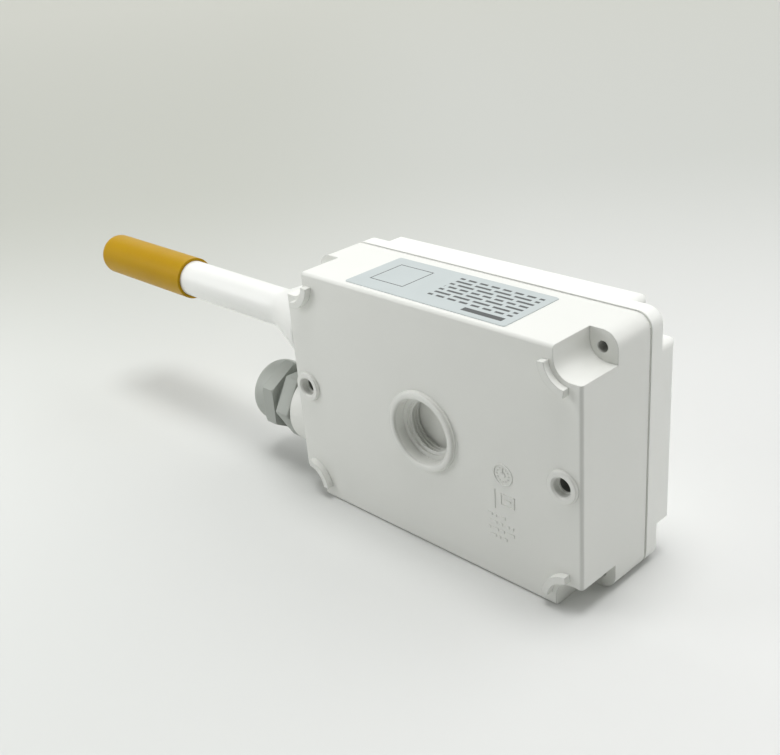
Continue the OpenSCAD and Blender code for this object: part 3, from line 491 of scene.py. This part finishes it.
# Round stamp of the mould: a raised ring, a hub with a pointer, and a circle of studs
STAMP = Vector((27.3, 0, -3.6)) * MM
STAMP_FOOT, STUDS, STUD_CIRCLE = -0.1, 12, 1.9
bm = bmesh.new()
turned(bm, [(2.7, STAMP_FOOT), (2.75, 0.18), (2.95, 0.22), (3.15, 0.18), (3.2, STAMP_FOOT)], STAMP,
       OUT_OF_BACK)
turned(bm, [(0, STAMP_FOOT), (0, 0.18), (0.75, 0.18), (0.9, 0), (0.9, STAMP_FOOT)], STAMP, OUT_OF_BACK, 32)
stud_place = Matrix.Translation((0, 0, STUD_CIRCLE * MM)) @ Matrix.Rotation(math.pi / 2, 4, "X")
for n in range(STUDS):
    turn = Matrix.Translation(STAMP) @ Matrix.Rotation(n * math.tau / STUDS, 4, "Y")
    bmesh.ops.create_cone(bm, cap_ends=True, segments=10, radius1=0.3 * MM, radius2=0.22 * MM,
                          depth=0.36 * MM, matrix=turn @ stud_place)
block(bm, (27.18, -0.24, -3.5), (27.42, 0.1, -1.9), 0.05)
piece("mould_stamp", bm, "base", housing_abs)

# Raised bars under the stamp: one upright bar, an open frame with a bar in it, and four rows of short bars
MARK_FOOT, MARK_EDGE = 0.1, 0.08
FRAME_BARS = [((26.4, -12.6), (26.7, -9.2)), ((30.6, -12.6), (30.9, -9.2)), ((26.4, -9.5), (30.9, -9.2)),
              ((26.4, -12.6), (30.9, -12.3)), ((27.6, -11.2), (29.7, -10.6))]
BAR_ROWS = [(1.6, 0.7, 2.2), (2.4, 1.1, 1.5, 0.8), (0.9, 1.9, 1.3, 2.6), (2.0, 0.8, 1.4)]
FIRST_BAR_X, FIRST_BAR_Z, ROW_STEP, BAR_GAP, HALF_BAR = 21.8, -16.6, 2.1, 0.7, 0.45
bm = bmesh.new()
block(bm, (24.1, -0.2, -14.4), (24.6, MARK_FOOT, -8.6), MARK_EDGE)
for (x0, z0), (x1, z1) in FRAME_BARS:
    block(bm, (x0, -0.18, z0), (x1, MARK_FOOT, z1), MARK_EDGE)
for row, lengths in enumerate(BAR_ROWS):
    x, z = FIRST_BAR_X + BAR_GAP * (row % 2), FIRST_BAR_Z - ROW_STEP * row
    for length in lengths:
        block(bm, (x, -0.16, z - HALF_BAR), (x + length, MARK_FOOT, z + HALF_BAR), MARK_EDGE)
        x += length + BAR_GAP
piece("mould_marks", bm, "base", housing_abs)


# Cable gland: its body with the hexagon and the thread that the nut runs on. Distances along its axis are
# measured from the housing's wall.

WASHER_OUT = 10
FLATS, HEXAGON_LENGTH, HEXAGON_EDGE = 20.6, 5.8, 0.5
CORE = 8
BORE, CHAMFER = 5, 0.3
NECK = [(BORE, -3.5), (CORE - CHAMFER, -3.5), (CORE, -3.2), (CORE, 26.4), (CORE - CHAMFER, 26.8), (7.0, 26.8),
        (7.0, 17.0), (BORE, 17.0)]
GLAND_START, GLAND_TURNS, GLAND_PITCH, GLAND_ROOT, GLAND_CREST = 16.6, 6.5, 1.5, 7.9, 8.76
washer_low, washer_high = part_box("gland_washer")
gland = (washer_low + washer_high) / 2
gland.x = washer_low.x + WASHER_OUT * MM
bm = bmesh.new()
bmesh.ops.create_circle(bm, segments=6, radius=FLATS / math.sqrt(3) * MM)
bmesh.ops.subdivide_edges(bm, edges=bm.edges[:], cuts=7)
bmesh.ops.create_circle(bm, segments=48, radius=GLAND_ROOT * MM)
flat = bmesh.ops.bridge_loops(bm, edges=bm.edges[:])["faces"]
raised = bmesh.ops.extrude_face_region(bm, geom=flat)["geom"]
bmesh.ops.translate(bm, verts=[g for g in raised if isinstance(g, bmesh.types.BMVert)],
                    vec=(0, 0, HEXAGON_LENGTH * MM))
bmesh.ops.recalc_face_normals(bm, faces=bm.faces)
bevel(bm, [e for e in bm.edges if len(e.link_faces) == 2 and e.calc_face_angle() > math.radians(50)
           and min(v.co.xy.length for v in e.verts) > 9.5 * MM], HEXAGON_EDGE)
bmesh.ops.transform(bm, verts=bm.verts, matrix=Matrix.Translation(gland + ALONG_PROBE * WASHER_OUT * MM)
                    @ Matrix.Rotation(-math.pi / 2, 4, "Y"))
turned(bm, NECK, gland, ALONG_PROBE, 72)
thread(bm, gland, ALONG_PROBE, GLAND_START, GLAND_TURNS, GLAND_PITCH, GLAND_ROOT, GLAND_CREST, 60)
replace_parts(piece("threaded_gland_body", bm, "base", gland_polyamide), "gland_body")


# Circuit board: chip legs, small parts, print, clamps and pins

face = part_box("circuit_board")[1].y / MM

# Each chip: centre x and z, width, height, thickness, legs to a side, and whether all four sides have legs
CHIPS = [(-14.4, 20.48, 10.4, 10.24, 1.44, 8, True), (1.6, 21.76, 7.2, 5.12, 1.52, 5, False),
         (-22.4, -3.84, 5.2, 4.16, 1.12, 4, False), (24.8, 0, 6.4, 8.96, 1.6, 4, False)]
LEG_HALF, LEG_FOOT, LEGS_SHARE = 0.2, 0.15, 0.86
PRINT, PRINT_HALF, PRINT_GAP = 0.03, 0.08, 1.5
DOT, DOT_IN = 0.35, 1


def leg(bm, x, z, out, thick):
    """Bends a leg out of a chip's side at (x, z): a shoulder, a drop and a foot on the board."""
    wide_x, wide_z = abs(out[1]) * LEG_HALF, abs(out[0]) * LEG_HALF
    for start, end, low, high in ((0, 0.5, thick * 0.45, thick * 0.55), (0.4, 0.55, 0, thick * 0.55),
                                  (0.5, 1.1, 0, LEG_FOOT)):
        block(bm, (x + out[0] * start - wide_x, face + low, z + out[1] * start - wide_z),
              (x + out[0] * end + wide_x, face + high, z + out[1] * end + wide_z))


legs = bmesh.new()
dots = bmesh.new()
legend = bmesh.new()
for x, z, wide, high, thick, count, all_round in CHIPS:
    for side in BOTH_SIDES:
        for n in range(count):
            share = ((n + 0.5) / count - 0.5) * LEGS_SHARE
            leg(legs, x + share * wide, z + side * high / 2, (0, side), thick)
            if all_round:
                leg(legs, x + side * wide / 2, z + share * high, (side, 0), thick)
    dot_place = Vector((x - wide / 2 + DOT_IN, face + thick - 0.005, z - high / 2 + DOT_IN)) * MM
    turned(dots, [(0, 0), (0, PRINT), (DOT, PRINT), (DOT, 0)], dot_place, TO_COVER, 20)
    # A printed line runs round each chip.
    left, right = x - wide / 2 - PRINT_GAP, x + wide / 2 + PRINT_GAP
    bottom, top = z - high / 2 - PRINT_GAP, z + high / 2 + PRINT_GAP
    for x0, x1, z0, z1 in ((left, right, bottom, bottom), (right, right, bottom, top),
                           (left, right, top, top), (left, left, bottom, top)):
        block(legend, (x0 - PRINT_HALF, face, z0 - PRINT_HALF),
              (x1 + PRINT_HALF, face + PRINT, z1 + PRINT_HALF))
piece("chip_legs", legs, "base", solder_tin)
piece("chip_marks", dots, "base", legend_ink)
piece("board_legend", legend, "base", legend_ink)

# Rows of small parts: first place in x and z, count across and up, and steps across and up
SMALL_PARTS = [(-34, 3.5, 4, 2, 3.4, 2.6), (-34, -11, 3, 3, 3.2, 2.6), (-16.5, -11.5, 1, 4, 3, 2.6),
               (-16.2, 7.2, 1, 3, 3, 2.4), (-8, 28.5, 4, 1, 3.6, 2.4), (-4.5, 15.2, 4, 1, 3.1, 2.4),
               (-30, 24.5, 3, 2, 3.4, 2.6), (16.5, -11.5, 6, 1, 3.3, 2.4), (31.5, -7.5, 2, 4, 3.3, 2.8),
               (18.2, 6.8, 1, 3, 3, 2.6), (23, 10.2, 3, 1, 3.3, 2.4)]
LOW_PART, TALL_PART, BODY_GAP = 0.5, 0.9, 0.03
# A part's body, its end caps and their solder: half width, half height, and how far out from its middle
BODY_WIDE, BODY_HIGH = 0.6, 0.55
CAP_OUT, CAP_WIDE, CAP_HIGH = 0.8, 0.22, 0.6
SOLDER_OUT, SOLDER_WIDE, SOLDER_HIGH, SOLDER_THICK = 1.0, 0.3, 0.65, 0.12
bodies = bmesh.new()
ends = bmesh.new()
for x0, z0, across, up, step_x, step_z in SMALL_PARTS:
    for i in range(across):
        for j in range(up):
            x, z = x0 + i * step_x, z0 + j * step_z
            tall = LOW_PART if (i + j) % 3 else TALL_PART
            block(bodies, (x - BODY_WIDE, face + BODY_GAP, z - BODY_HIGH),
                  (x + BODY_WIDE, face + tall, z + BODY_HIGH), 0.05)
            for side in BOTH_SIDES:
                cap, solder = x + side * CAP_OUT, x + side * SOLDER_OUT
                block(ends, (cap - CAP_WIDE, face, z - CAP_HIGH),
                      (cap + CAP_WIDE, face + tall + BODY_GAP, z + CAP_HIGH), 0.06)
                block(ends, (solder - SOLDER_WIDE, face, z - SOLDER_HIGH),
                      (solder + SOLDER_WIDE, face + SOLDER_THICK, z + SOLDER_HIGH), 0.05)
piece("small_part_bodies", bodies, "base", chip_ceramic)
piece("small_part_ends", ends, "base", solder_tin)

# Crystal in its drawn can, on its flange
bm = bmesh.new()
block(bm, (-27.4, face, 10.0), (-20.2, face + 3.2, 13.7), 1.0, 3)
block(bm, (-27.9, face, 9.7), (-19.7, face + 0.5, 14.0), 0.2)
piece("crystal_can", bm, "base", solder_tin)

# Wound coil: a square foot and a drum with a rim, and four layers of wire round the drum
COIL_X, COIL_Z = 12.8, 12.6
COIL = Vector((COIL_X, face, COIL_Z)) * MM
FOOT_HALF, FOOT_THICK, DRUM, LAYER = 3.2, 1.0, 2.2, 0.4
bm = bmesh.new()
block(bm, (COIL_X - FOOT_HALF, face, COIL_Z - FOOT_HALF),
      (COIL_X + FOOT_HALF, face + FOOT_THICK, COIL_Z + FOOT_HALF), 0.3)
turned(bm, [(0, FOOT_THICK), (0, 3.4), (2.9, 3.4), (3.1, 3.2), (3.1, 2.7), (DRUM, 2.7), (DRUM, FOOT_THICK)],
       COIL, TO_COVER, 40)
piece("coil_core", bm, "base", chip_epoxy)
bm = bmesh.new()
for n in range(4):
    wire = [(2.1, 1.05), (2.75, 1.05), (2.85, 1.22), (2.75, 1.4), (2.1, 1.4)]
    turned(bm, [(r, d + n * LAYER) for r, d in wire], COIL, TO_COVER, 40)
piece("coil_winding", bm, "base", pin_gold)

# Terminal blocks: clamps in the wire mouths, and ribs between the poles
POLES, POLE_PITCH, FIRST_POLE = 5, 4.5, 14
CLAMP_BACK, CLAMP_FRONT, CLAMP_LOW, CLAMP_HIGH = -21.2, -18.7, 1.05, 3.95
CLAMP_HALF, CLAMP_SHEET, CLAMP_CHEEK, CLAMP_EDGE = 1.25, 0.3, 1.12, 0.05
RIB_HALF = 0.25
clamps = bmesh.new()
ribs = bmesh.new()
for side in BOTH_SIDES:
    for n in range(POLES):
        x = side * (FIRST_POLE + POLE_PITCH * (n + 0.5))
        for low in (CLAMP_LOW, CLAMP_HIGH - CLAMP_SHEET):
            block(clamps, (x - CLAMP_HALF, face + low, CLAMP_BACK),
                  (x + CLAMP_HALF, face + low + CLAMP_SHEET, CLAMP_FRONT), CLAMP_EDGE)
        for cheek in (x - CLAMP_CHEEK, x + CLAMP_CHEEK):
            block(clamps, (cheek - 0.13, face + CLAMP_LOW, CLAMP_BACK),
                  (cheek + 0.13, face + CLAMP_HIGH, CLAMP_FRONT), CLAMP_EDGE)
    for n in range(POLES + 1):
        # The outer ribs stand flush with the block's ends.
        inset = {0: RIB_HALF, POLES: -RIB_HALF}.get(n, 0)
        x = side * (FIRST_POLE + POLE_PITCH * n + inset)
        block(ribs, (x - RIB_HALF, face + 5.2, -23.95), (x + RIB_HALF, face + 9.35, -15.5), 0.1)
piece("terminal_clamps", clamps, "base", terminal_nickel)
piece("terminal_ribs", ribs, "base", terminal_pbt)

# Connector: latch, polarising ribs and its solder tails
PLUG_Z, TAILS, TAIL_PITCH, TAIL_HALF = 14.3, 4, 1.5, 0.3
bm = bmesh.new()
block(bm, (-34.6, face + 5.7, PLUG_Z - 3), (-31.4, face + 6.5, PLUG_Z + 3), 0.2)
for z in (PLUG_Z - 3.9, PLUG_Z + 3.9):
    block(bm, (-36.5, face + 0.5, z - 0.25), (-30.5, face + 4.5, z + 0.25), 0.1)
piece("connector_latch", bm, "base", connector_nylon)
bm = bmesh.new()
for n in range(TAILS):
    z = PLUG_Z + (n - (TAILS - 1) / 2) * TAIL_PITCH
    block(bm, (-30.1, face, z - TAIL_HALF), (-28.7, face + 0.25, z + TAIL_HALF), 0.08)
piece("connector_tails", bm, "base", solder_tin)


# Floor

VIEW_TURN = math.radians(-47.2)


def floor_paper():
    """Calendered white table paper, matt. Painted light: lighter near the part and at its right, warmer grey
    far back.
    """
    made, tree, shader, place = material("matt_white_paper", IOR=1.45, Specular_IOR_Level=0.2)
    # Distances on the floor, in metres, run along and across the camera's heading.
    heading = add(tree, "Mapping", {"Vector": place, "Rotation": (0, 0, VIEW_TURN)})
    spread = add(tree, "SeparateXYZ", {0: heading.outputs["Vector"]}).outputs
    depth = add(tree, "MapRange", {"Value": spread["Y"], "From Min": 0.02, "From Max": 0.42},
                interpolation_type="SMOOTHSTEP").outputs["Result"]
    side = add(tree, "MapRange", {"Value": spread["X"], "From Min": -0.14, "From Max": 0.1},
               interpolation_type="SMOOTHSTEP").outputs["Result"]
    away = add(tree, "MapRange", {"Value": spread["Y"], "From Min": 0.35, "From Max": 1.5}).outputs["Result"]
    near = add(tree, "MixRGB", {"Fac": side, "Color1": colour("#cccecb"), "Color2": colour("#dddedc")})
    middle = add(tree, "MixRGB", {"Fac": side, "Color1": colour("#bdbfb7"), "Color2": colour("#c6c8c3")})
    far = add(tree, "MixRGB", {"Fac": away, "Color1": middle.outputs["Color"], "Color2": colour("#c5c6be")})
    tone = add(tree, "MixRGB", {"Fac": depth, "Color1": near.outputs["Color"],
                                "Color2": far.outputs["Color"]})
    fibre = add(tree, "TexNoise", {"Vector": place, "Scale": per(1.5), "Detail": 3})
    dull = add(tree, "MapRange", {"Value": fibre.outputs["Fac"], "To Min": 0.62, "To Max": 0.72})
    dress(tree, shader, Base_Color=tone.outputs["Color"], Roughness=dull.outputs["Result"])
    return made


FLOOR_REACH = 30  # metres to each side
FLOOR_GAP = 0.05
bm = bmesh.new()
bmesh.ops.create_grid(bm, x_segments=2, y_segments=2, size=FLOOR_REACH)
bmesh.ops.translate(bm, verts=bm.verts, vec=(0, 0, cad_box[0].z - FLOOR_GAP * MM))
mesh = bpy.data.meshes.new("floor")
bm.to_mesh(mesh)
bm.free()
mesh.materials.append(floor_paper())
floor = bpy.data.objects.new("floor", mesh)
bpy.context.scene.collection.objects.link(floor)


# Light: a dim even room, three wide soft boxes and a small panel at the left

scene = bpy.context.scene
scene.view_settings.view_transform = "Standard"
world = bpy.data.worlds.new("soft_room")
scene.world = world
world.use_nodes = True
tree = world.node_tree
tree.nodes.clear()
room = add(tree, "Background", {"Color": (1, 1, 1, 1), "Strength": 0.144})
# Past the floor's edge the camera, metal and glass see the floor's pale tone. It gives no diffuse light.
pale = add(tree, "Background", {"Color": colour("#d3d5cf"), "Strength": 1})
path = add(tree, "LightPath").outputs
direct = add(tree, "Math", {0: path["Is Camera Ray"], 1: path["Is Glossy Ray"]}, operation="MAXIMUM")
seen = add(tree, "Math", {0: direct.outputs[0], 1: path["Is Transmission Ray"]}, operation="MAXIMUM")
both = add(tree, "MixShader", {"Fac": seen.outputs[0], 1: room.outputs["Background"],
                               2: pale.outputs["Background"]})
add(tree, "OutputWorld", {"Surface": both.outputs["Shader"]})


def lamp(name, kind, place, aim, energy, **settings):
    """A soft studio lamp at a place, aimed at a point, both in metres. A sun takes only its direction."""
    light = bpy.data.lights.new(name, kind)
    light.energy = energy
    for key, value in settings.items():
        setattr(light, key, value)
    made = bpy.data.objects.new(name, light)
    made.location = place
    made.rotation_mode = "QUATERNION"
    made.rotation_quaternion = (Vector(aim) - Vector(place)).to_track_quat("-Z", "Y")
    made.visible_camera = False
    scene.collection.objects.link(made)


MIDDLE = (0, 0, 0)
lamp("overhead_softbox", "SUN", (0, 0, 1), MIDDLE, 1.92, angle=math.radians(30))
lamp("rear_softbox", "SUN", (-0.6, 0.6, 1), MIDDLE, 0.58, angle=math.radians(60))
lamp("right_softbox", "SUN", (0.45, 0.95, 0.8), MIDDLE, 1.06, angle=math.radians(60))
lamp("left_panel", "AREA", (-0.26, -0.22, 0.16), (-0.03, 0, 0), 0.44, size=0.2)


# Camera, at the photograph's place (metres): heading, fall and roll were fitted to the part's edges

HEADING, FALL, ROLL = math.radians(-47.183), math.radians(25.316), math.radians(-4.906)
camera = bpy.data.cameras.new("camera")
camera.lens = 49.915
camera.sensor_width = 36
camera.clip_start = 0.005
camera.clip_end = 100
eye = bpy.data.objects.new("camera", camera)
eye.location = (0.1806, -0.17749, 0.13621)
eye.rotation_mode = "QUATERNION"
look = Vector((math.sin(HEADING) * math.cos(FALL), math.cos(HEADING) * math.cos(FALL), -math.sin(FALL)))
eye.rotation_quaternion = look.to_track_quat("-Z", "Y") @ Quaternion((0, 0, 1), ROLL)
scene.collection.objects.link(eye)
scene.camera = eye
